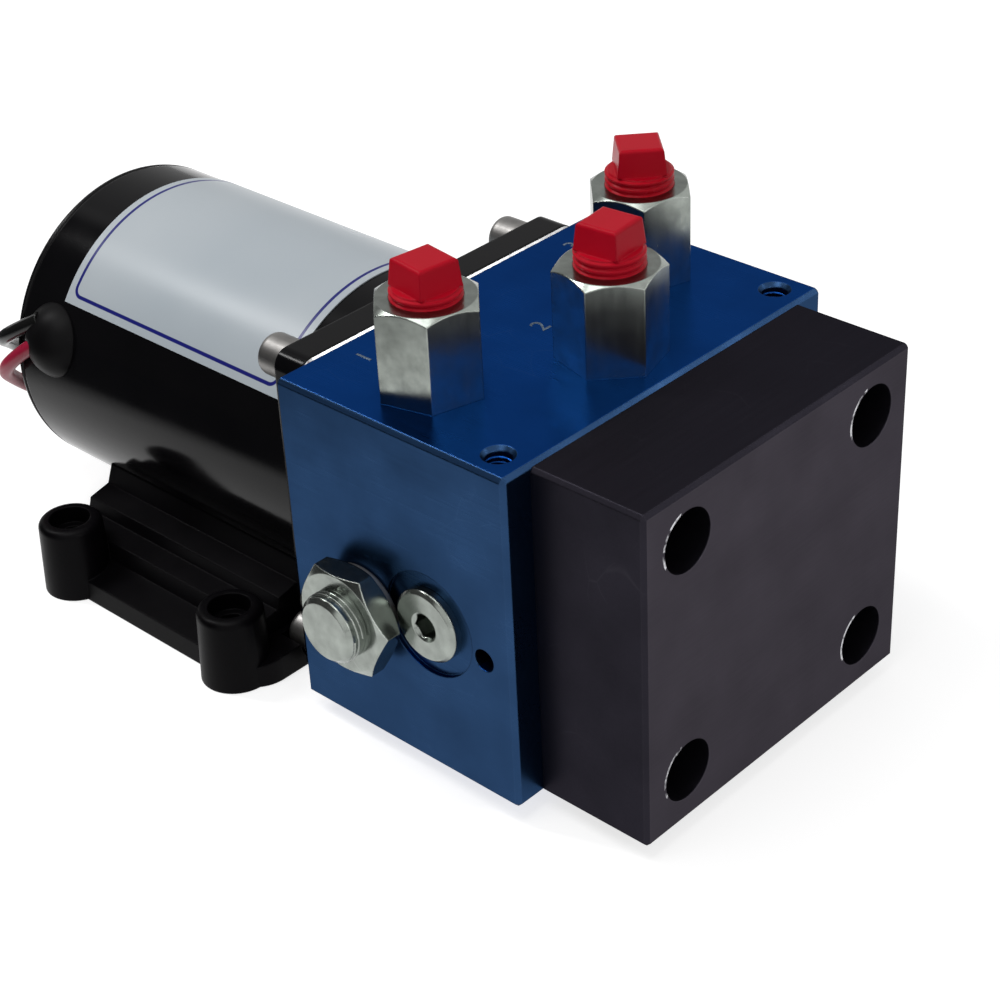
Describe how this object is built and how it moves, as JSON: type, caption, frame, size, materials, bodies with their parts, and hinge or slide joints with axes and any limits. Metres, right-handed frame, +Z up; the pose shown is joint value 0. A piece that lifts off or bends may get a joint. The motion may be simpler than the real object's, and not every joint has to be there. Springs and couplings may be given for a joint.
{
  "type": "hydraulic reversing pump",
  "caption": "Electric hydraulic reversing pump: a round motor in a rubber saddle, flanged to a square valve block with plugged top ports and a bolted end cover.",
  "frame": {"origin": "centre of the rubber base's four-hole pattern, on the base's underside (the floor)", "axes": "+X runs from the motor to the end cover along the motor shaft's direction, +Y is across towards the side without the adjuster, +Z is up towards the ports"},
  "size_m": [0.2282, 0.116, 0.105],
  "materials": {
    "blue_anodised": "satin blue anodised",
    "charcoal_anodised": "satin charcoal anodised",
    "seal_rubber": "matte",
    "black_screw": "black oxide",
    "gloss_black": "gloss black paint",
    "dull_screw": "dull",
    "bushing_bronze": "sintered",
    "label_foil": "silver foil",
    "shaft_steel": "ground",
    "core_steel": "varnished laminations",
    "copper_winding": "enamelled copper",
    "copper_bar": "turned copper",
    "ferrite": "sintered ferrite",
    "phenolic": "moulded",
    "carbon": "graphite",
    "spring_steel": "bright",
    "gear_steel": "hobbed and ground",
    "zinc_steel": "zinc plated",
    "black_rubber": "moulded black rubber",
    "red_insulation": "red lead insulation",
    "black_insulation": "black lead insulation",
    "tinned_copper": "tinned",
    "red_plastic": "moulded red plastic"
  },
  "bodies": {
    "housing": {"manifold_block": "blue_anodised", "end_cover": "charcoal_anodised", "cover_seal": "seal_rubber", "cover_screws": "black_screw", "motor_flange": "gloss_black", "flange_screws": "dull_screw", "motor_can": "gloss_black", "rear_end_cap": "gloss_black", "front_bushing": "bushing_bronze", "rear_bushing": "bushing_bronze", "motor_label": "label_foil", "field_magnets": "ferrite", "brush_plate": "phenolic", "brushes": "carbon", "brush_springs": "spring_steel", "shaft_seal": "seal_rubber", "idler_pin": "shaft_steel", "adjuster_stud": "zinc_steel", "lock_nut": "zinc_steel", "seal_washer": "dull_screw", "relief_spring": "spring_steel", "gallery_plug": "zinc_steel", "shuttle_plug": "zinc_steel", "mounting_base": "black_rubber", "lead_grommet": "seal_rubber", "red_lead": "red_insulation", "black_lead": "black_insulation", "red_terminal": "tinned_copper", "black_terminal": "tinned_copper", "port_fitting_1": "zinc_steel", "port_seal_1": "seal_rubber", "port_plug_1": "red_plastic", "port_fitting_2": "zinc_steel", "port_seal_2": "seal_rubber", "port_plug_2": "red_plastic", "port_fitting_3": "zinc_steel", "port_seal_3": "seal_rubber", "port_plug_3": "red_plastic", "check_seat_1": "gear_steel", "check_spring_1": "spring_steel", "check_seat_2": "gear_steel", "check_spring_2": "spring_steel"},
    "rotor": {"armature_shaft": "shaft_steel", "armature_core": "core_steel", "armature_windings": "copper_winding", "commutator": "copper_bar", "shaft_coupling": "shaft_steel", "pump_shaft": "shaft_steel", "drive_gear": "gear_steel"},
    "idler": {"idler_gear": "gear_steel"},
    "spool": {"shuttle_spool": "gear_steel"},
    "relief": {"relief_poppet": "gear_steel"},
    "check_1": {"check_poppet_1": "gear_steel"},
    "check_2": {"check_poppet_2": "gear_steel"}
  },
  "joints": [
    {"name": "rotor_spin", "type": "hinge", "parent": "housing", "child": "rotor", "pos_m": [0, 0, 0.0385], "axis": [1, 0, 0], "continuous": true},
    {"name": "idler_spin", "type": "hinge", "parent": "housing", "child": "idler", "pos_m": [0.111, 0, 0.0585], "axis": [1, 0, 0], "continuous": true},
    {"name": "spool_slide", "type": "slide", "parent": "housing", "child": "spool", "axis": [0, 1, 0], "range_m": [-0.0015, 0.0015]},
    {"name": "relief_lift", "type": "slide", "parent": "housing", "child": "relief", "axis": [0, -1, 0], "range_m": [0, 0.002], "stiffness_N_per_m": 4000, "springref_m": -0.001, "deforming": ["relief_spring"]},
    {"name": "check_lift_1", "type": "slide", "parent": "housing", "child": "check_1", "axis": [0, -1, 0], "range_m": [0, 0.002], "stiffness_N_per_m": 300, "springref_m": -0.002, "deforming": ["check_spring_1"]},
    {"name": "check_lift_2", "type": "slide", "parent": "housing", "child": "check_2", "axis": [0, 1, 0], "range_m": [0, 0.002], "stiffness_N_per_m": 300, "springref_m": -0.002, "deforming": ["check_spring_2"]}
  ],
  "couplings": [
    {"joint": "idler_spin", "follows": "rotor_spin", "ratio": -1}
  ]
}
